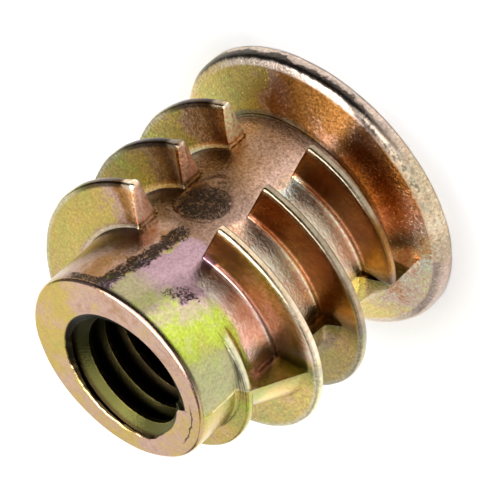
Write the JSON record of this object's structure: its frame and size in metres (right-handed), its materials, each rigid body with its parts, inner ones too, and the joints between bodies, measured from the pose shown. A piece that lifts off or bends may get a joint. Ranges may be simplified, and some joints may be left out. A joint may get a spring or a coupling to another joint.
{
  "type": "threaded insert",
  "caption": "Die-cast screw-in insert for wood: coarse interrupted outer thread, flange with hex drive socket, and a tapped bore for a machine screw.",
  "frame": {"origin": "centre of the flange face, on the surface that the insert stands on", "axes": "+Z along the insert from the flange to the nose; the gap in the outer thread faces 302 degrees from +X about +Z"},
  "size_m": [0.0136, 0.0136, 0.013],
  "materials": {
    "yellow_chromate_zinc": "zinc die casting with an iridescent yellow chromate"
  },
  "bodies": {
    "root": {"insert_body": "yellow_chromate_zinc"}
  },
  "joints": []
}
